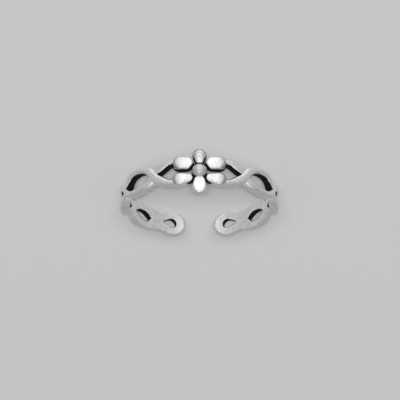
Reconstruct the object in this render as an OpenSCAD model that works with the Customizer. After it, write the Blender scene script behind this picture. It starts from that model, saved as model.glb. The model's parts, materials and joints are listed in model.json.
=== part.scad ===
// Open toe ring: two braided strands, an oval loop at each open end and a six-petal flower.
// The ring lies on its side as it rests: on the tip of one petal and the two end loops.

/* [Ring] */
// Inside diameter, the opening for the toe
inner_d = 15; // [14:0.1:17]
// Thickness of the band, from the opening to the crown of a strand
band_t = 0.98; // [0.8:0.02:1.1]
// Angle from the middle of the flower round to the tip of each open end
tip_angle = 168; // [166:0.5:170]

/* [Braid] */
// Angle between one crossing of the strands and the next
pitch_angle = 36.35; // [36:0.05:37]
// Half height of the swing of a strand's middle line beside the flower
swing_front = 1.19; // [1.1:0.01:1.25]
// Half height of that swing at the last crossing
swing_back = 0.9; // [0.85:0.01:1]
// How much the swing is flattened into a fuller lobe
swing_flat = 0.07; // [0:0.01:0.1]
// Width of a strand between two crossings
strand_w = 0.66; // [0.6:0.01:0.72]
// How far the second lobe sits off the middle plane
lobe_lean = 0.1; // [0:0.01:0.15]
// How far the crown of the lower strand dips under the upper one
under_dip = 0.16; // [0.1:0.01:0.2]

/* [End loops] */
// Half height of an end loop
loop_half = 1.26; // [1.2:0.01:1.3]
// Width of the strand along the loop's sides
loop_w = 0.7; // [0.64:0.01:0.74]
// Width of the strand round the tip
tip_w = 0.92; // [0.8:0.01:0.95]
// Roundness of the loop, 0 for an oval and more for a drop
loop_drop = 0.7; // [0.4:0.05:0.9]

/* [Flower] */
// Distance from the ring's axis to the edge of the petals
petal_edge = 8.15; // [8.1:0.01:8.2]
// Distance from the ring's axis to the flat back of the upper and lower petal
axial_back = 7.55; // [7.52:0.01:7.7]
// Distance from the ring's axis to the flat back of the four side petals
side_back = 7.3; // [7.2:0.01:7.4]
// How high a petal is puffed up, as a share of its own half width
petal_puff = 0.6; // [0.5:0.01:0.8]
// Fullness of a petal's dome across it, 1 for a plain round and less for fuller
petal_full = 0.62; // [0.5:0.01:1]
// Fullness of the dome in height, the same way
petal_lift = 0.85; // [0.7:0.05:1]
// Fall of the petals away from the middle, in mm for a square millimetre
petal_droop = 0.02; // [0:0.005:0.03]
// Width of the round centre round the ring
seed_w = 1.64; // [1.5:0.02:1.7]
// Width of the round centre along the ring's axis
seed_h = 1.5; // [1.4:0.02:1.6]
// Top of the round centre, from the ring's axis
seed_top = 8.95; // [8.85:0.01:9.05]

/* [Hidden] */
crossings = 4;
inner_r = inner_d / 2;
crown_r = inner_r + band_t;
root = 0.1;
lobe_steps = 15;
loop_steps = 22;
petal_sides = 28;
petal_rings = 6;
// Places and spreads below are shares of the pitch between two crossings
dip_spread = 0.2;
lean_place = 1.55;
lean_spread = 0.7;
notch_place = 0.11;
notch_spread = 0.15;
hole_place = 0.2;
hole_spread = 0.14;
// Share of the loop's length from which the strand widens towards the tip
widen_from = 0.55;
// Share of the band's thickness at which a loop's side stands furthest out
touch_level = 0.45;

// Half of a strand's section, as shares of its half width and its height
section_half = [[1, 0], [1, 0.45], [0.93, 0.72], [0.62, 0.94]];
section = concat(section_half, [[0, 1]], [for (i = [3:-1:0]) [-section_half[i][0], section_half[i][1]]]);

// Each petal is two circles joined by straight sides, one near the centre and one at its tip
// columns: base circle's place across the ring, its place along the axis and its radius,
// the same three for the tip circle, and the distance from the axis to the petal's back
high_petal = [0, 1.05, 0.55, 0, 1.74, 0.8, axial_back];
low_petal = [0, 1.05, 0.45, 0, 1.8, 0.7, axial_back];
side_petal = [1.36, 0.86, 0.58, 2.12, 0.92, 0.68, side_back];

// Extra half width where the strands grow together, a row for each crossing from the flower on
// columns: beside the outer notches, in the hole before the crossing, in the hole after it
webs = [
    [0.3, 0, 0],
    [0.3, 0.2, 0],
    [0.15, 0, 0.1],
    [0.2, 0.1, 0],
    [0.3, 0.25, -0.05],
];

// A point at radius r, arc length u from the flower along the crown circle, and height z
function wrap(r, u, z) =
    let (a = u / crown_r * 180 / PI)
    [r * sin(a), -r * cos(a), z];

function blend(a, b, t) = a + (b - a) * t;

// Bell curve with its peak at 0
function bell(x) = exp(-x * x);

// Middle line of a strand over the braid: x counts the crossings passed
function swing(x) =
    blend(swing_front, swing_back, x / crossings)
        * (sin(180 * x) + swing_flat * sin(540 * x)) / (1 - swing_flat);

// Middle line of a strand round the end loop: a runs from 0 at the last crossing to 180 at the tip
function drop(a) = sin(a) * pow(sin(a / 2), loop_drop);
drop_peak = acos(-loop_drop / (2 + loop_drop));
loop_start = crossings * pitch_angle * PI / 180 * crown_r;
loop_length = tip_angle * PI / 180 * crown_r - tip_w / 2 - loop_start;

// Stations along one strand, columns: arc length, height, crossings passed
braid_stations = [for (i = [-2:crossings * lobe_steps])
    let (x = i / lobe_steps)
    [x * pitch_angle * PI / 180 * crown_r, swing(x), x]];
loop_stations = [for (i = [1:loop_steps + 1])
    let (a = 180 * i / loop_steps)
    let (share = (1 - cos(a)) / 2)
    [loop_start + loop_length * share,
        (loop_half - loop_w / 2) * drop(a) / drop(drop_peak),
        crossings + (a > 180 ? 1 : share)]];
stations = concat(braid_stations, loop_stations);

// Plain half width of a strand at a station
function plain_half(x) =
    x <= crossings ? strand_w / 2
        : blend(loop_w, tip_w, pow(max(0, (x - crossings - widen_from) / (1 - widen_from)), 1.5)) / 2;

// Signed distance to the nearest crossing, in pitches, and the way the strand climbs there
function from_crossing(x) = x > crossings ? x - crossings : x - round(x);
function climbs(x, side) = side * (min(round(x), crossings) % 2 == 0 ? 1 : -1);

// Half width on one edge, widened beside the notches and in the ends of the holes
function half_width(x, side, edge) =
    let (web = webs[max(0, min(round(x), crossings))])
    let (outward = edge * climbs(x, side))
    plain_half(x) + web[0] * bell((from_crossing(x) - outward * notch_place) / notch_spread)
        + (outward > 0 ? web[1] : web[2]) * bell((from_crossing(x) + outward * hole_place) / hole_spread);

// Height of the crown: the climbing strand goes under at each crossing
function crown(x, side) =
    band_t - (climbs(x, side) > 0 ? under_dip * bell(from_crossing(x) / dip_spread) : 0);

function strand_ring(i, side) =
    let (s = stations[i])
    let (before = stations[max(i - 1, 0)])
    let (after = stations[min(i + 1, len(stations) - 1)])
    let (du = after[0] - before[0])
    let (dz = side * (after[1] - before[1]))
    let (run = norm([du, dz]))
    let (middle = side * s[1] - lobe_lean * bell((s[2] - lean_place) / lean_spread))
    [for (p = section)
        let (off = p[0] * half_width(s[2], side, p[0] > 0 ? 1 : -1))
        let (r = p[1] == 0 ? inner_r - root : inner_r + p[1] * crown(s[2], side))
        wrap(r, s[0] - off * dz / run, middle + off * du / run)];

// Triangles between rings of n points, each ring joined to the next
function skin(rings, n) = [for (i = [0:rings - 2]) for (j = [0:n - 1]) for (t = [0, 1])
    let (a = i * n + j)
    let (b = i * n + (j + 1) % n)
    t == 0 ? [a, b + n, b] : [a, a + n, b + n]];

function fan(first, n, turn) = [for (j = [1:n - 2])
    turn > 0 ? [first, first + j, first + j + 1] : [first, first + j + 1, first + j]];

// One strand of one half of the ring, from the flower round to the tip of the end loop
module strand(side) {
    n = len(section);
    count = len(stations);
    points = [for (i = [0:count - 1]) each strand_ring(i, side)];
    faces = concat(skin(count, n), fan(0, n, 1), fan((count - 1) * n, n, -1));
    polyhedron(points = points, faces = faces, convexity = 6);
}

// Outline of a petal in direction a, shrunk by share towards the line between its two circles
function petal_point(petal, a, share, rise) =
    let (way = [cos(a), sin(a)])
    let (base = [petal[0], petal[1]])
    let (tip = [petal[3], petal[4]])
    let (at_tip = way * tip + petal[5] > way * base + petal[2])
    let (radius = at_tip ? petal[5] : petal[2])
    let (p = (at_tip ? tip : base) + way * radius * share)
    [p[0], -(petal_edge - petal_droop * p * p + rise * petal_puff * radius), p[1]];

// One puffed petal
module petal(shape) {
    n = petal_sides;
    back = [for (j = [0:n - 1])
        let (p = petal_point(shape, 360 * j / n, 1, 0))
        [p[0], -shape[6], p[2]]];
    dome = [for (k = [0:petal_rings - 1]) for (j = [0:n - 1])
        let (a = 90 * k / (petal_rings - 0.6))
        petal_point(shape, 360 * j / n, pow(cos(a), petal_full), pow(sin(a), petal_lift))];
    faces = concat(skin(petal_rings + 1, n), fan(0, n, 1), fan(petal_rings * n, n, -1));
    polyhedron(points = concat(back, dome), faces = faces, convexity = 4);
}

module flower() {
    petal(high_petal);
    mirror([0, 0, 1]) petal(low_petal);
    for (up = [0, 1]) for (left = [0, 1]) mirror([left, 0, 0]) mirror([0, 0, up]) petal(side_petal);
    seed_base = petal_edge;
    translate([0, -seed_base, 0])
        scale([seed_w / 2, seed_top - seed_base, seed_h / 2]) sphere(r = 1, $fn = 24);
}

module band() {
    for (left = [0, 1]) mirror([left, 0, 0]) {
        strand(1);
        strand(-1);
    }
}

// Where the ring touches the floor, as distance towards the flower and height along the axis
petal_touch = [axial_back, -(low_petal[4] + low_petal[5])];

// Slope to the floor of a line from the petal to a loop's outer edge at a station
function touch_tilt(i) =
    let (s = loop_stations[i])
    let (run = loop_stations[i + 1] - loop_stations[i - 1])
    let (edge = s + plain_half(s[2]) / norm([run[0], run[1]]) * [-run[1], run[0], 0])
    let (reach = (inner_r + touch_level * band_t) * cos(edge[0] / crown_r * 180 / PI))
    atan((-edge[1] - petal_touch[1]) / (petal_touch[0] - reach));

// The loops touch where that slope is least
rest_tilt = min([for (i = [1:loop_steps - 2]) touch_tilt(i)]);
rest_height = -(petal_touch[0] * sin(rest_tilt) + petal_touch[1] * cos(rest_tilt));
// The middle between the round centre's top and the end loops comes over the origin
tip_reach = crown_r * cos(180 - tip_angle + tip_w / 2 / crown_r * 180 / PI);
rest_shift = (seed_top - tip_reach) / 2 * cos(rest_tilt);

module toe_ring() {
    color("silver")
    translate([0, rest_shift, rest_height])
    rotate([-rest_tilt, 0, 0])
    difference() {
        // resized by nothing, which fuses the braid and the flower into one mesh
        resize([0, 0, 0]) union() {
            band();
            flower();
        }
        // turned so that its seam falls in the gap between the open ends
        rotate([0, 0, 90]) cylinder(r = inner_r, h = 8, center = true, $fn = 128);
    }
}

toe_ring();
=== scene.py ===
import json
import math

import bmesh
import bpy
import numpy as np
from mathutils import Matrix, Vector, noise
from mathutils.bvhtree import BVHTree


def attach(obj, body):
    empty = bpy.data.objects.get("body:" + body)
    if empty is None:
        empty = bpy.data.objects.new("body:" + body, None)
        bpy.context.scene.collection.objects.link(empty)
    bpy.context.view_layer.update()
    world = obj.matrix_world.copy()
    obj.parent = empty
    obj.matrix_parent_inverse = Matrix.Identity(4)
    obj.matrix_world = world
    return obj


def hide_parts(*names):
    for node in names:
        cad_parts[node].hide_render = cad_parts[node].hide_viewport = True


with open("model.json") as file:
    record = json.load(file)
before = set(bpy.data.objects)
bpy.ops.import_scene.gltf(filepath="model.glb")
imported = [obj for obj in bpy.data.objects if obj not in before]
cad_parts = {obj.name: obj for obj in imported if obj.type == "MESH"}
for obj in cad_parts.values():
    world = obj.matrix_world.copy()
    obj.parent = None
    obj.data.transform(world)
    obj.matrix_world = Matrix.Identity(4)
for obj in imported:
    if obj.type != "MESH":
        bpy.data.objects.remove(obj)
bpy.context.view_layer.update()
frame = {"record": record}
mm = 0.001

# The ring is drawn about its own axis in millimetres, flower towards -Y and axis along +Z.
# It lies on its side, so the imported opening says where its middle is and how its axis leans.
opening = next(m for m in frame["record"]["mounts"] if m["name"] == "toe_hollow")
ringCentre = Vector(opening["pos_m"])
ringAxis = Vector(opening["axis"]).normalized()
layOnSide = (
    Matrix.Translation(ringCentre)
    @ Vector((0, 0, 1)).rotation_difference(ringAxis).to_matrix().to_4x4()
    @ Matrix.Scale(mm, 4)
)


def bell(x):
    return np.exp(-x * x)


def ease(x, low, high):
    t = np.clip((x - low) / (high - low), 0, 1)
    return t * t * (3 - 2 * t)


def meshPiece(name, points, faces):
    mesh = bpy.data.meshes.new(name)
    mesh.from_pydata([tuple(p) for p in points], [], faces)
    mesh.update()
    piece = bpy.data.objects.new(name, mesh)
    bpy.context.scene.collection.objects.link(piece)
    return piece


def tubeFaces(rings, n):
    # quads between closed rings of n points, with a flat end at each side
    faces = [
        (i * n + j, (i + 1) * n + j, (i + 1) * n + (j + 1) % n, i * n + (j + 1) % n)
        for i in range(rings - 1)
        for j in range(n)
    ]
    return faces + [tuple(range(n)), tuple(reversed(range((rings - 1) * n, rings * n)))]


# Braided band

band = {
    "innerRadius": 7.5,     # opening for the toe
    "thickness": 0.98,      # from the opening to the crown of a strand
    "tipAngle": 168,        # from the flower round to the end of each open end
    "pitchAngle": 36.35,    # from one crossing to the next
    "crossings": 4,         # on each side, after the one under the flower
    "swingFront": 1.19,     # half height of a strand's swing beside the flower
    "swingBack": 0.9,       # and at the last crossing
    "swingFlat": 0.07,      # flattens the swing into a fuller lobe
    "strandWidth": 0.66,
    # extra width at each crossing from the flower on: beside the notches,
    # in the end of the hole before it, in the end of the hole after it
    "webs": ((0, 0, 0), (0.3, 0.2, 0), (0.15, 0, 0.1), (0.2, 0.1, 0.05), (0.3, 0.4, 0)),
    # places and spreads of the webs, the lean and the dips count the way between two crossings as 1
    "notchWeb": (0.11, 0.15),   # place and spread of the extra width at a notch
    "holeWeb": (0.2, 0.14),     # and in a hole
    "lean": -0.1,           # the second lobe sits a little off the middle plane
    "leanAt": (1.55, 0.7),  # place and spread of that
    "underDip": 0.16,       # fall of the crown where a strand goes under
    "flowerDip": 0.45,      # and where both pass under the flower
    "dipSpread": 0.2,       # spread of both
    "loopHalf": 1.26,       # half height of an end loop
    "loopWidth": 0.7,
    "tipWidth": (0.75, 0.4),    # at the tip, outside and inside of the loop's middle line
    "widen": (0.55, 0.45),  # share of the loop where that width sets in, and over how much of it
    "widenPower": 1.5,      # 1 is an even growth and more is a later one
    "loopDrop": 0.5,        # 0 for an oval and more for a drop
    # extra width inside the loop, where along it, and over how far
    "loopInner": ((0.06, 0.38, 0.2), (-0.1, 0.07, 0.08)),
    "wallShare": 0.45,      # share of the height that stands straight
    "wallPoints": (0.6, 1), # where the points on that wall are
    "crownPower": 2.5,      # 2 is a half round crown, more is flatter
    "edgeRound": (0.07, 0.06),   # worn inner edge: across the strand, and in depth
    "tipRound": (0.34, 0.26),    # the same round the outside of an open end
    "tipRoundFrom": (0.62, 0.97),   # shares of the loop over which that sets in
    "holeRound": 0.2,       # how much of it is kept round the loop's hole
    "root": 0.1,            # each strand starts this far inside the opening, and the bore trims it
    "stepsBehind": 5,       # steps of the path behind the middle of the flower
    "stepsPitch": 36,
    "stepsLoop": 64,
    "crownPoints": 22,
    "footPoints": 5,
}
crownRadius = band["innerRadius"] + band["thickness"]
loopStart = band["crossings"] * math.radians(band["pitchAngle"]) * crownRadius
loopLength = math.radians(band["tipAngle"]) * crownRadius - band["tipWidth"][0] - loopStart


def wrap(radius, around, height):
    # around is the arc length from the flower, measured on the crown circle
    a = around / crownRadius
    return np.stack([radius * np.sin(a), -radius * np.cos(a), height + 0 * a], axis=-1)


def dropShape(a):
    return np.sin(a) * np.abs(np.sin(a / 2)) ** band["loopDrop"]


def strandPath():
    # arc length, height and crossings passed, from just behind the flower to past the tip
    x = np.arange(-band["stepsBehind"], band["crossings"] * band["stepsPitch"] + 1) / band["stepsPitch"]
    swing = band["swingFront"] + (band["swingBack"] - band["swingFront"]) * x / band["crossings"]
    wave = np.sin(np.pi * x) + band["swingFlat"] * np.sin(3 * np.pi * x)
    braid = np.stack([x * math.radians(band["pitchAngle"]) * crownRadius,
                      swing * wave / (1 - band["swingFlat"]), x], axis=1)
    a = np.pi * np.arange(1, band["stepsLoop"] + 2) / band["stepsLoop"]
    share = (1 - np.cos(a)) / 2
    peak = dropShape(math.acos(-band["loopDrop"] / (2 + band["loopDrop"])))
    loop = np.stack([loopStart + loopLength * share,
                     (band["loopHalf"] - band["loopWidth"] / 2) * dropShape(a) / peak,
                     band["crossings"] + np.where(a > np.pi, 1, share)], axis=1)
    return np.concatenate([braid, loop])


def strandSection():
    # columns: side, share of the half width, share of the crown height, rounding across, rounding in depth
    t = np.linspace(0, math.pi, band["crownPoints"] + 1)
    power = 2 / band["crownPower"]
    crown = [(math.copysign(1, math.cos(v)), math.copysign(abs(math.cos(v)) ** power, math.cos(v)),
              band["wallShare"] + (1 - band["wallShare"]) * math.sin(v) ** power, 0, 0) for v in t[1:-1]]
    foot = []
    for v in np.radians(90 * np.arange(1, band["footPoints"] + 1) / band["footPoints"]):
        foot.append((1, 1, 0, 1 - math.sin(v), 1 - math.cos(v)))
    root = (1, 1, 0, foot[0][3], -1)
    wall = [(1, 1, band["wallShare"] * share, 0, 0) for share in band["wallPoints"]]
    side = [root] + foot + wall
    other = [(-s, -w, h, c, d) for s, w, h, c, d in reversed(side)]
    return np.array(side + crown + other)


def makeStrand(name, side):
    path = strandPath()
    section = strandSection()
    x = path[:, 2]
    step = np.gradient(path[:, :2], axis=0)
    du, dz = step[:, 0], side * step[:, 1]
    run = np.hypot(du, dz)
    widenFrom, widenOver = band["widen"]
    inLoop = np.clip((x - band["crossings"] - widenFrom) / widenOver, 0, 1) ** band["widenPower"]
    plain = [np.where(x <= band["crossings"], band["strandWidth"] / 2,
                      band["loopWidth"] / 2 + (width - band["loopWidth"] / 2) * inLoop)
             for width in band["tipWidth"]]
    near = np.where(x > band["crossings"], x - band["crossings"], x - np.round(x))
    climbs = side * np.where(np.minimum(np.round(x), band["crossings"]) % 2 == 0, 1, -1)
    crown = band["thickness"] - np.where(climbs > 0, band["underDip"] * bell(near / band["dipSpread"]), 0)
    crown -= band["flowerDip"] * bell(x / band["dipSpread"])
    atTip = ease(x, *(band["crossings"] + share for share in band["tipRoundFrom"]))
    webs = np.array(band["webs"])[np.clip(np.round(x), 0, band["crossings"]).astype(int)]
    leanPlace, leanSpread = band["leanAt"]
    middle = side * path[:, 1] + band["lean"] * bell((x - leanPlace) / leanSpread)
    (notchPlace, notchSpread), (holePlace, holeSpread) = band["notchWeb"], band["holeWeb"]
    points = []
    for edge, width, height, cut, depth in section:
        outward = edge * climbs
        half = plain[0 if edge * side > 0 else 1]
        half = half + webs[:, 0] * bell((near - outward * notchPlace) / notchSpread)
        holeWeb = np.where(outward > 0, webs[:, 1], webs[:, 2])
        half += holeWeb * bell((near + outward * holePlace) / holeSpread)
        if edge * side < 0:
            for extra, along, over in band["loopInner"]:
                half += np.where(x > band["crossings"], extra * bell((near - along) / over), 0)
        outside = atTip if edge * side > 0 else band["holeRound"] * atTip
        cutSize = band["edgeRound"][0] + (band["tipRound"][0] - band["edgeRound"][0]) * outside
        deepSize = band["edgeRound"][1] + (band["tipRound"][1] - band["edgeRound"][1]) * outside
        off = width * half - edge * cut * cutSize
        if height > 0:
            radius = band["innerRadius"] + height * crown
        elif depth < 0:
            radius = band["innerRadius"] - band["root"] + 0 * crown
        else:
            radius = band["innerRadius"] + depth * deepSize
        points.append(wrap(radius, path[:, 0] - off * dz / run, middle + off * du / run))
    grid = np.stack(points, axis=1)
    return meshPiece(name, grid.reshape(-1, 3), tubeFaces(len(path), len(section)))


def mirrored(piece, name, across):
    copy = piece.data.copy()
    copy.transform(Matrix.Diagonal((-1 if across == "x" else 1, 1, -1 if across == "z" else 1, 1)))
    copy.flip_normals()
    twin = bpy.data.objects.new(name, copy)
    bpy.context.scene.collection.objects.link(twin)
    return twin


# Flower

flower = {
    "edgeRadius": 8.15,     # from the ring's axis to the edge of the petals
    "droop": 0.02,          # fall away from the middle, mm for a square mm
    # circle near the middle (across, along, radius), circle at the tip, flat back's radius,
    # dome: fullness across and in height (1 is a plain round, less is fuller), rise over its half width
    "highPetal": ((0, 1.05, 0.57), (0, 1.74, 0.8), 7.55, (0.3, 0.9, 0.5)),
    "lowPetal": ((0, 1.05, 0.45), (0, 1.8, 0.7), 7.55, (0.8, 1, 0.6)),
    "highSide": ((1.1, 0.77, 0.46), (2.12, 0.93, 0.7), 7.3, (0.5, 0.9, 0.55)),
    "lowSide": ((1.32, 0.88, 0.7), (2.08, 0.91, 0.72), 7.3, (0.42, 0.9, 0.55)),
    "domeRings": 14,
    "arcPoints": 26,
    "sidePoints": 6,
    "ridgeGap": 1e-5,       # points of a dome's ridge that are closer than this are one
    "reach": 3.1,           # holds the side petals, to each side of the middle
    "axialHalf": 1,         # and this holds the petals above and below
    "seedSize": (1.64, 0.8, 1.5),   # round centre: across, height over the petals' edge, along
    "seedRings": 25,
    "seedPoints": 56,
}


def makePetal(name, petal):
    base, tip, back = np.array(petal[0]), np.array(petal[1]), petal[2]
    line = tip[:2] - base[:2]
    lean = math.atan2(line[1], line[0])
    turn = math.acos((base[2] - tip[2]) / np.linalg.norm(line))
    n, m = flower["arcPoints"], flower["sidePoints"]
    outline = [(1, a) for a in np.linspace(-turn, turn, n)]
    outline += [(t, turn) for t in np.linspace(1, 0, m + 2)[1:-1]]
    outline += [(0, a) for a in np.linspace(turn, 2 * math.pi - turn, n)]
    outline += [(t, -turn) for t in np.linspace(0, 1, m + 2)[1:-1]]
    t = np.array([o[0] for o in outline])
    a = np.array([o[1] for o in outline]) + lean
    middle = base[:2] + (tip[:2] - base[:2]) * t[:, None]
    radius = base[2] + (tip[2] - base[2]) * t
    way = np.stack([np.cos(a), np.sin(a)], axis=1)

    def ring(share, rise):
        p = middle + way * (radius * share)[:, None]
        y = flower["edgeRadius"] - flower["droop"] * (p ** 2).sum(1) + rise * petal[3][2] * radius
        return np.stack([p[:, 0], -y, p[:, 1]], axis=1)

    foot = ring(1, 0)
    foot[:, 1] = -back
    rings = [foot]
    for v in np.linspace(0, math.pi / 2, flower["domeRings"] + 1)[:-1]:
        rings.append(ring(math.cos(v) ** petal[3][0], math.sin(v) ** petal[3][1]))
    rings.append(ring(0, 1))
    count = len(outline)
    points = np.concatenate(rings)
    piece = meshPiece(name, points, tubeFaces(len(rings), count)[:-1])
    # the dome's last ring has no width, and closes into its ridge here
    weld(piece, flower["ridgeGap"])
    return piece


def makeSeed(name):
    across, high, along = np.array(flower["seedSize"]) * (0.5, 1, 0.5)
    rings, n = flower["seedRings"], flower["seedPoints"]
    points, faces = [(0, -flower["edgeRadius"] - high, 0)], []
    for v in np.linspace(0, math.pi, rings + 2)[1:-1]:
        for a in np.linspace(0, 2 * math.pi, n, endpoint=False):
            points.append((across * math.sin(v) * math.cos(a), -flower["edgeRadius"] - high * math.cos(v),
                           along * math.sin(v) * math.sin(a)))
    points.append((0, -flower["edgeRadius"] + high, 0))
    faces += [(0, 1 + j, 1 + (j + 1) % n) for j in range(n)]
    for i in range(rings - 1):
        near, far = 1 + i * n, 1 + (i + 1) * n
        faces += [(near + j, far + j, far + (j + 1) % n, near + (j + 1) % n) for j in range(n)]
    last = len(points) - 1
    faces += [(last, last - n + (j + 1) % n, last - n + j) for j in range(n)]
    return meshPiece(name, points, faces)


def weld(piece, gap=1e-6):
    bm = bmesh.new()
    bm.from_mesh(piece.data)
    bmesh.ops.remove_doubles(bm, verts=bm.verts, dist=gap)
    bmesh.ops.dissolve_degenerate(bm, edges=bm.edges, dist=gap)
    bmesh.ops.recalc_face_normals(bm, faces=bm.faces)
    bm.to_mesh(piece.data)
    bm.free()


upper = makeStrand("strandUpper", 1)
lower = makeStrand("strandLower", -1)
strands = [upper, lower, mirrored(upper, "strandUpperLeft", "x"), mirrored(lower, "strandLowerLeft", "x")]
petals = [makePetal("petalHigh", flower["highPetal"]), makePetal("petalHighSide", flower["highSide"])]
for name, shape in (("petalLow", "lowPetal"), ("petalLowSide", "lowSide")):
    upturned = makePetal("upturned", flower[shape])
    petals.append(mirrored(upturned, name, "z"))
    bpy.data.objects.remove(upturned)
petals += [mirrored(p, p.name + "Left", "x") for p in petals if "Side" in p.name]
seed = makeSeed("seed")
for piece in strands + petals + [seed]:
    weld(piece)


# One casting

casting = {
    "boreSides": 288,
    "boreHalf": 4.0,        # half length of the bore's cutter, clear of the flower
    "halvings": 5,          # rounds in which long edges are halved
    "longestEdge": 0.35,
    "shortestEdge": 0.001,
    "crumbFaces": 50,       # a piece with fewer faces than this is a leftover
}


def makeBore():
    n, half = casting["boreSides"], casting["boreHalf"]
    a = np.linspace(0, 2 * math.pi, n, endpoint=False)
    ring = np.stack([band["innerRadius"] * np.cos(a), band["innerRadius"] * np.sin(a), 0 * a], axis=1)
    points = np.concatenate([ring + (0, 0, z) for z in np.linspace(-half, half, 2)])
    return meshPiece("bore", points, tubeFaces(2, n))


bore = makeBore()
weld(bore)


def fuse(base, others, cutter):
    for n, other in enumerate(others + [cutter]):
        step = base.modifiers.new("join%d" % n, "BOOLEAN")
        step.solver = "MANIFOLD"
        step.operation = "DIFFERENCE" if other is cutter else "UNION"
        step.object = other
    bpy.context.view_layer.update()
    whole = bpy.data.meshes.new_from_object(base.evaluated_get(bpy.context.evaluated_depsgraph_get()))
    base.modifiers.clear()
    base.data = whole
    for other in others + [cutter]:
        bpy.data.objects.remove(other)
    return base


def dropCrumbs(bm, fewest):
    # pieces of a few faces that only hang on by a corner are taken off
    left = set(bm.faces)
    while left:
        queue = [left.pop()]
        piece = []
        while queue:
            face = queue.pop()
            piece.append(face)
            for other in [f for e in face.edges for f in e.link_faces]:
                if other in left:
                    left.remove(other)
                    queue.append(other)
        if len(piece) < fewest:
            bmesh.ops.delete(bm, geom=piece, context="FACES")


def refine(mesh):
    # long triangles on the flat backs and the bore are halved, so that wear can vary over them,
    # and the slivers and pinched edges that the joining left are closed up
    bm = bmesh.new()
    bm.from_mesh(mesh)
    bmesh.ops.triangulate(bm, faces=bm.faces)
    for step in range(casting["halvings"]):
        edges = [e for e in bm.edges if e.calc_length() > casting["longestEdge"]]
        if not edges:
            break
        bmesh.ops.subdivide_edges(bm, edges=edges, cuts=1)
        bmesh.ops.triangulate(bm, faces=bm.faces)
    bmesh.ops.dissolve_degenerate(bm, dist=casting["shortestEdge"], edges=bm.edges)
    bmesh.ops.triangulate(bm, faces=bm.faces)
    bmesh.ops.collapse(bm, edges=[e for e in bm.edges if len(e.link_faces) > 2])
    bmesh.ops.delete(bm, geom=[e for e in bm.edges if not e.link_faces], context="EDGES")
    dropCrumbs(bm, casting["crumbFaces"])
    bm.to_mesh(mesh)
    bm.free()


ring = fuse(strands[0], strands[1:] + petals + [seed], bore)
ring.name = "silver_toe_ring"
refine(ring.data)
print("ring cast:", len(ring.data.vertices), "points,", len(ring.data.polygons), "faces")


# Surface: slight unevenness of the casting, where the blackening stays, and where painted shade greys the
# petals, the round centre and the crossing creases

surface = {
    "waveSize": 0.9,        # mm between swells left by the polishing
    "waveHeight": 0.006,
    "smallWave": (0.4, 0.35),   # a finer swell's height and size, as shares of those
    "petalWave": 0.3,       # mm between the dimples on the petals
    "petalHeight": 0.013,   # how deep those are
    "petalRise": 0.06,      # height over the strands where a side petal counts as petal
    "petalSoft": 0.05,      # height to each side of the petals' edge over which an end petal does
    "petalFrom": 1,         # distance from the middle plane where those end petals begin
    "seedGrow": 1.25,       # the ellipsoid that counts as the round centre, 1 is its own size
    "seedSoft": 0.2,
    "seedRise": (0.02, 0.1),    # height over the petals' edge where it sets in
    "chevronTops": (2.25, 1.85),    # where each arrow line's point is, from the middle
    "chevronSlope": 0.8,
    "chevronWidth": 0.08,
    "chevronHeight": 0.012,
    "chevronHalf": 0.6,     # half width of the lines
    "rays": 48,             # feelers sent out from each point
    "rayStart": 0.012,      # mm above the surface
    "reach": 2.0,           # how far a hollow is felt
    "tightReach": 0.4,      # and a narrow groove
    "wipe": 0.85,           # how much of the blackening came off the open notches
    "wipeSpread": 7,        # degrees to each side of a crossing
    "wipeFrom": (0.45, 0.75),   # height from the middle plane where that sets in
    "petalWipe": 0.6,       # how much came off the domes of the petals
    "petalWipeRise": 0.15,  # height over the petals' edge where that is full
    "seam": 0.9,            # blackening in the seams between petals and strands
    "crossingShade": 0.4,       # painted shade added in the creases where two strands cross
    "seamReach": (3.2, 0.3),    # the flower's seams end this far to each side, and fade over this
    "brightTips": (157, 164),   # degrees from the flower over which the loops' tips turn brighter
    "petalEndShadeSpan": (1.5, 3.0),     # distance from the middle over which painted shade greys the side petals' ends
    "lowPetalShadeSpan": (0.9, 2.0),      # the same painted shade down the lowest petal
    "lowPetalShadeHalf": 0.9,         # half width of that petal
    "sharpAngle": 36,
}


def readNormals(mesh):
    values = np.zeros(len(mesh.vertices) * 3, np.float32)
    mesh.vertex_normals.foreach_get("vector", values)
    return values.reshape(-1, 3).astype(float)


def onPetals(points):
    # 1 where the petals and the centre stand higher than the strands,
    # and on the ends of the petals above and below
    across, along = np.abs(points[:, 0]), np.abs(points[:, 2])
    radius = np.hypot(points[:, 0], points[:, 1])
    edge, soft = flower["edgeRadius"], surface["petalSoft"]
    sides = ease(radius, crownRadius, crownRadius + surface["petalRise"]) * (across < flower["reach"])
    ends = ease(radius, edge - soft, edge + soft) * (across < flower["axialHalf"])
    ends *= along > surface["petalFrom"]
    return np.maximum(sides, ends) * (points[:, 1] < 0)


def onSeed(points):
    # 1 on the round centre: inside its own ellipsoid, drawn a little larger
    across, high, along = flower["seedSize"]
    depth = -points[:, 1] - flower["edgeRadius"]
    share = (points[:, 0] / (across / 2)) ** 2 + (points[:, 2] / (along / 2)) ** 2 + (depth / high) ** 2
    return ease(surface["seedGrow"] - share, 0, surface["seedSoft"]) * ease(depth, *surface["seedRise"])


def chevrons(points):
    # 1 along the raised arrow lines down the lowest petal
    across, down = np.abs(points[:, 0]), -points[:, 2]
    slope, width = surface["chevronSlope"], surface["chevronWidth"]
    lines = sum(bell((down - top + slope * across) / width) for top in surface["chevronTops"])
    return lines * onPetals(points) * (across < surface["chevronHalf"]) * (down > surface["petalFrom"])


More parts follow.
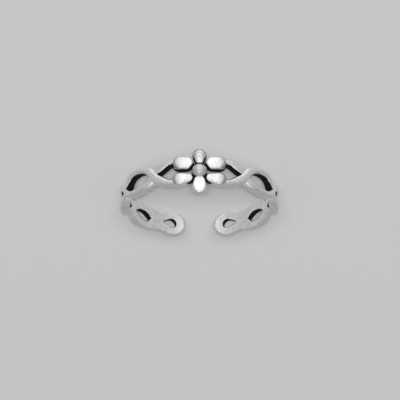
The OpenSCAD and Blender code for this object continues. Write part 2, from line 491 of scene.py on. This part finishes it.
def uneven(mesh):
    normals = readNormals(mesh)
    points = np.zeros(len(mesh.vertices) * 3, np.float32)
    mesh.vertices.foreach_get("co", points)
    points = points.reshape(-1, 3)
    size, petalSize = surface["waveSize"], surface["petalWave"]
    smallHeight, smallSize = surface["smallWave"]
    lift = [noise.noise(Vector(p) / size) + smallHeight * noise.noise(Vector(p) / (smallSize * size))
            for p in points]
    dimples = np.array([noise.noise(Vector(p) / petalSize) for p in points])
    dimples *= onPetals(points) * (1 - onSeed(points)) * surface["petalHeight"]
    raised = chevrons(points) * surface["chevronHeight"]
    points += normals * (np.array(lift) * surface["waveHeight"] + dimples + raised)[:, None]
    mesh.vertices.foreach_set("co", points.ravel())
    mesh.update()


def hemisphere(count):
    # directions spread evenly by their cosine round +Z
    k = np.arange(count) + 0.5
    high = np.sqrt(1 - k / count)
    flat = np.sqrt(k / count)
    turn = k * math.pi * (3 - math.sqrt(5))
    return np.stack([flat * np.cos(turn), flat * np.sin(turn), high], axis=1)


def feelHollows(mesh):
    # how many of each point's feelers meet metal, and how many meet it in a narrow groove
    tree = BVHTree.FromPolygons([v.co for v in mesh.vertices], [p.vertices for p in mesh.polygons])
    spread = hemisphere(surface["rays"])
    recess = np.zeros(len(mesh.vertices), np.float32)
    groove = np.zeros(len(mesh.vertices), np.float32)
    cast = tree.ray_cast
    slant = (0.36, 0.48, 0.8)   # any fixed direction, from which each point's own axes are built
    normals = readNormals(mesh)
    for i, v in enumerate(mesh.vertices):
        n = normals[i]
        side = np.cross(n, slant)
        side /= np.linalg.norm(side)
        ways = spread @ np.array([side, np.cross(n, side), n])
        start = v.co + Vector(n) * surface["rayStart"]
        for way in ways.tolist():
            distance = cast(start, way, surface["reach"])[3]
            if distance is not None:
                recess[i] += 1
                if distance < surface["tightReach"]:
                    groove[i] += 1
    return recess, groove


def storeWearAndShade(mesh):
    recess, groove = feelHollows(mesh)
    points = np.array([v.co for v in mesh.vertices])
    across = np.abs(points[:, 0])
    front = points[:, 1] < 0
    around = np.degrees(np.arctan2(across, -points[:, 1]))
    radius = np.hypot(points[:, 0], points[:, 1])
    seed = onSeed(points)
    dome = onPetals(points) * (1 - seed)

    # the open notches beside the crossings and the domes of the petals were wiped clean
    crossing = np.clip(np.round(around / band["pitchAngle"]), 1, band["crossings"]) * band["pitchAngle"]
    notch = bell((around - crossing) / surface["wipeSpread"])
    notch *= ease(np.abs(points[:, 2]), *surface["wipeFrom"])
    recess *= 1 - surface["wipe"] * notch
    edge = flower["edgeRadius"]
    raised = ease(radius, edge, edge + surface["petalWipeRise"]) * (across < flower["reach"])
    recess *= 1 - surface["petalWipe"] * raised * front

    # the seams at the flower are blackened; the creases where strands cross get painted shade, added to
    # the same hollow measure so that they darken alike
    seamEnd, seamFade = surface["seamReach"]
    atFlower = ease(seamEnd - across, 0, seamFade) * front * (1 - seed)
    recess += groove * (surface["crossingShade"] + (surface["seam"] - surface["crossingShade"]) * atFlower)
    # painted shade: the ends of the side petals and the lowest petal, apart from its raised arrow lines,
    # are painted greyer to stand in for their dimmer reflections
    lowest = ease(-points[:, 2], *surface["lowPetalShadeSpan"]) * (across < surface["lowPetalShadeHalf"])
    lowest *= 1 - chevrons(points)
    layers = {
        "recess": recess / surface["rays"],
        "seed": seed,
        "polish": np.maximum(dome, ease(around, *surface["brightTips"])),
        "outer": dome * np.maximum(ease(across, *surface["petalEndShadeSpan"]), lowest),
    }
    for name, values in layers.items():
        layer = mesh.attributes.new(name, "FLOAT", "POINT")
        layer.data.foreach_set("value", values.astype(np.float32))


uneven(ring.data)
storeWearAndShade(ring.data)
ring.data.transform(layOnSide)
ring.data.shade_smooth()
ring.data.set_sharp_from_angle(angle=math.radians(surface["sharpAngle"]))
ring.data.update()
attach(ring, "root")
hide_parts("toe_ring")
print("surface felt for hollows")


# Silver

silver = {
    "polished": (0.96, 0.96, 0.96),
    "worn": (0.8, 0.8, 0.8),
    "wornFrom": (0.35, 0.7),    # share of the cloudy noise over which polished turns worn
    "cloudSize": 2600,      # noises a metre
    "cloudDetail": (4.0, 0.6),  # finer layers of the noise, and how strong they are
    "fineSize": 14000,
    "fineDetail": (3.0, 0.7),
    "blackened": (0.003, 0.003, 0.003),
    "blacken": (0.13, 0.24),    # how hollow a place is where the blackening starts and is full
    "blackenBroken": 0.08,  # how far fine noise breaks its edge
    "blackenRough": 0.3,
    # painted shade: the grey that the ends of the petals are painted
    "paintedPetalEndShade": (0.5, 0.5, 0.5),
    "seed": (0.72, 0.72, 0.72),     # painted shade: the round centre is painted a darker grey for its dimmer reflection
    "seedRough": 0.06,
    "petalRough": -0.12,    # petals and the tips of the loops are smoother
    "roughness": 0.36,
    "roughSpread": 0.08,
    "scratchSize": 1500,    # per metre, across the scratches
    "scratchDetail": (2.0, 0.5),
    "scratchStretch": (1, 1, 7),
    "scratchWidth": 0.012,
    "scratchRough": 0.14,
    "scratchDepth": 0.5,    # against the height of the fine grain
    "specular": 0.1,        # weak gloss where the blackening covers the metal
    "bumpStrength": 0.25,
    "bumpHeight": 0.00001,  # metres, for the fine grain
}


# Shader nodes that the silver and the light tent share

def mathNode(tree, operation, a, b):
    node = tree.nodes.new("ShaderNodeMath")
    node.operation = operation
    for socket, value in zip(node.inputs, (a, b)):
        if isinstance(value, (int, float)):
            socket.default_value = value
        else:
            tree.links.new(value, socket)
    return node.outputs[0]


def span(tree, value, start, end, toStart=0.0, toEnd=1.0):
    node = tree.nodes.new("ShaderNodeMapRange")
    node.interpolation_type = "SMOOTHSTEP"
    tree.links.new(value, node.inputs["Value"])
    for name, x in (("From Min", start), ("From Max", end), ("To Min", toStart), ("To Max", toEnd)):
        node.inputs[name].default_value = x
    return node.outputs[0]


def makeSilver():
    material = bpy.data.materials.new("blackened silver")
    material.use_nodes = True
    tree = material.node_tree
    nodes, links = tree.nodes, tree.links
    nodes.clear()
    out = nodes.new("ShaderNodeOutputMaterial")
    metal = nodes.new("ShaderNodeBsdfPrincipled")
    metal.inputs["Specular IOR Level"].default_value = silver["specular"]
    links.new(metal.outputs["BSDF"], out.inputs["Surface"])
    place = nodes.new("ShaderNodeTexCoord")

    def noiseNode(where, scale, detail, roughness):
        node = nodes.new("ShaderNodeTexNoise")
        links.new(where, node.inputs["Vector"])
        for name, value in (("Scale", scale), ("Detail", detail), ("Roughness", roughness)):
            node.inputs[name].default_value = value
        return node.outputs["Fac"]

    def stored(name):
        node = nodes.new("ShaderNodeAttribute")
        node.attribute_name = name
        return node.outputs["Fac"]

    def offMiddle(value):
        return mathNode(tree, "SUBTRACT", value, 0.5)

    def addShare(value, share, amount):
        return mathNode(tree, "ADD", value, mathNode(tree, "MULTIPLY", share, amount))

    def mixColour(share, a, b):
        node = nodes.new("ShaderNodeMix")
        node.data_type = "RGBA"
        links.new(share, node.inputs["Factor"])
        for socket, value in ((node.inputs[6], a), (node.inputs[7], b)):
            if isinstance(value, tuple):
                socket.default_value = (*value, 1)
            else:
                links.new(value, socket)
        return node.outputs[2]

    # colour: cloudy wear, painted shade greying the round centre and the petal ends, and black in the
    # hollows: patina, with painted shade along the creases where strands cross
    spot = place.outputs["Object"]
    cloud = noiseNode(spot, silver["cloudSize"], *silver["cloudDetail"])
    fine = noiseNode(spot, silver["fineSize"], *silver["fineDetail"])
    hollow = addShare(stored("recess"), offMiddle(fine), silver["blackenBroken"])
    black = span(tree, hollow, *silver["blacken"])
    seed = stored("seed")
    tone = mixColour(span(tree, cloud, *silver["wornFrom"]), silver["polished"], silver["worn"])
    # painted shade: the round centre is mixed towards that darker grey
    tone = mixColour(seed, tone, silver["seed"])
    tone = mixColour(stored("outer"), tone, silver["paintedPetalEndShade"])
    links.new(mixColour(black, tone, silver["blackened"]), metal.inputs["Base Color"])
    links.new(mathNode(tree, "SUBTRACT", 1.0, black), metal.inputs["Metallic"])

    # thin lines where a stretched noise passes its middle value
    stretched = nodes.new("ShaderNodeVectorMath")
    stretched.operation = "MULTIPLY"
    stretched.inputs[1].default_value = silver["scratchStretch"]
    links.new(spot, stretched.inputs[0])
    hair = noiseNode(stretched.outputs[0], silver["scratchSize"], *silver["scratchDetail"])
    offLine = mathNode(tree, "ABSOLUTE", offMiddle(hair), 0)
    scratch = span(tree, offLine, 0.0, silver["scratchWidth"], 1.0, 0.0)

    rough = addShare(silver["roughness"], offMiddle(cloud), silver["roughSpread"])
    for share, amount in ((seed, "seedRough"), (stored("polish"), "petalRough"), (scratch, "scratchRough"),
                          (black, "blackenRough")):
        rough = addShare(rough, share, silver[amount])
    links.new(rough, metal.inputs["Roughness"])

    bump = nodes.new("ShaderNodeBump")
    bump.inputs["Strength"].default_value = silver["bumpStrength"]
    bump.inputs["Distance"].default_value = silver["bumpHeight"]
    links.new(addShare(fine, scratch, -silver["scratchDepth"]), bump.inputs["Height"])
    links.new(bump.outputs["Normal"], metal.inputs["Normal"])
    return material


ring.data.materials.clear()
ring.data.materials.append(makeSilver())


# Floor, light and camera

studio = {
    "floorHalf": 3.0,       # metres
    "floorTone": 0.36,
    "floorRough": 0.9,
    "floorSpecular": 0.1,
    "roomBelow": 0.51,      # light of the tent from below
    "roomAbove": 0.37,
    "skyline": (-0.4, 0.35),    # height of the view direction over which one turns into the other
    "glow": 0.66,           # bright upright strip of the tent in front of the flower
    "glowFocus": 3.6,       # how narrow that strip is
    "glowFade": (-0.6, 0.1),    # how far round to the back it fades
    # columns: name, side angle from the flower's front, height angle, distance, width, height, strength
    # the silver mirrors the tent and not these, which light the floor and the blackened hollows
    "lights": (
        ("low", 0, 20, 6, 2.8, 0.92, 54),
        ("level", 0, 26.6, 6, 0.8, 0.35, 600),
    ),
    "cameraRise": 26.6037,      # degrees over the floor
    "cameraDistance": 0.2684,   # metres
    "cameraSide": 0.000054,     # the ring stands this far off the picture's middle
    "lens": 225,            # millimetres, and so is the sensor's width
    "sensor": 36,
    "clip": (0.01, 20),     # metres, nearest and furthest that the camera sees
}


def makeFloor():
    half = studio["floorHalf"]
    low = float(min((ring.matrix_world @ v.co).z for v in ring.data.vertices))
    corners = [(x * half, y * half, low) for x, y in ((-1, -1), (1, -1), (1, 1), (-1, 1))]
    floor = meshPiece("floor", corners, [(0, 1, 2, 3)])
    paper = bpy.data.materials.new("pale floor")
    paper.use_nodes = True
    shader = paper.node_tree.nodes["Principled BSDF"]
    shader.inputs["Base Color"].default_value = (*[studio["floorTone"]] * 3, 1)
    shader.inputs["Roughness"].default_value = studio["floorRough"]
    shader.inputs["Specular IOR Level"].default_value = studio["floorSpecular"]
    floor.data.materials.append(paper)
    # the tent's light also reaches the ring from below, so gloss and shadow rays pass the floor
    floor.visible_glossy = False
    floor.visible_shadow = False


def makeLight(name, side, high, distance, width, height, strength):
    lamp = bpy.data.lights.new(name, "AREA")
    lamp.shape = "RECTANGLE"
    lamp.size, lamp.size_y = width, height
    lamp.energy = strength * math.pi * width * height
    lampObject = bpy.data.objects.new(name, lamp)
    a, e = math.radians(side), math.radians(high)
    back = Vector((math.sin(a) * math.cos(e), -math.cos(a) * math.cos(e), math.sin(e)))
    lampObject.location = ringCentre + back * distance
    lampObject.rotation_euler = back.to_track_quat("Z", "Y").to_euler()
    lampObject.visible_glossy = False
    bpy.context.scene.collection.objects.link(lampObject)


makeFloor()
for row in studio["lights"]:
    makeLight(*row)


def makeRoom():
    room = bpy.data.worlds.new("light tent")
    room.use_nodes = True
    tree = room.node_tree
    way = tree.nodes.new("ShaderNodeTexCoord")
    parts = tree.nodes.new("ShaderNodeSeparateXYZ")
    tree.links.new(way.outputs["Generated"], parts.inputs["Vector"])
    x, y, z = (parts.outputs[name] for name in "XYZ")
    plain = span(tree, z, *studio["skyline"], studio["roomBelow"], studio["roomAbove"])
    front = span(tree, y, *studio["glowFade"], studio["glow"], 0)
    beside = mathNode(tree, "SUBTRACT", 1.0, mathNode(tree, "MULTIPLY", x, x))
    strip = mathNode(tree, "MULTIPLY", mathNode(tree, "POWER", beside, studio["glowFocus"]), front)
    tent = tree.nodes["Background"]
    tree.links.new(mathNode(tree, "ADD", plain, strip), tent.inputs["Strength"])
    tent.inputs["Color"].default_value = (1, 1, 1, 1)
    bpy.context.scene.world = room


makeRoom()

rise = math.radians(studio["cameraRise"])
toCamera = Vector((0, -math.cos(rise), math.sin(rise)))
# rolled by half a turn, so that the flower is at the top of the picture as in the photo
up = Vector((0, -math.sin(rise), -math.cos(rise)))
right = Vector((-1, 0, 0))
cameraData = bpy.data.cameras.new("camera")
cameraData.lens, cameraData.sensor_width = studio["lens"], studio["sensor"]
cameraData.clip_start, cameraData.clip_end = studio["clip"]
camera = bpy.data.objects.new("camera", cameraData)
bpy.context.scene.collection.objects.link(camera)
turn = Matrix((right, up, toCamera)).transposed().to_4x4()
place = ringCentre + toCamera * studio["cameraDistance"] + right * studio["cameraSide"]
camera.matrix_world = Matrix.Translation(place) @ turn
bpy.context.scene.camera = camera
bpy.context.scene.view_settings.view_transform = "Standard"
print("studio set")
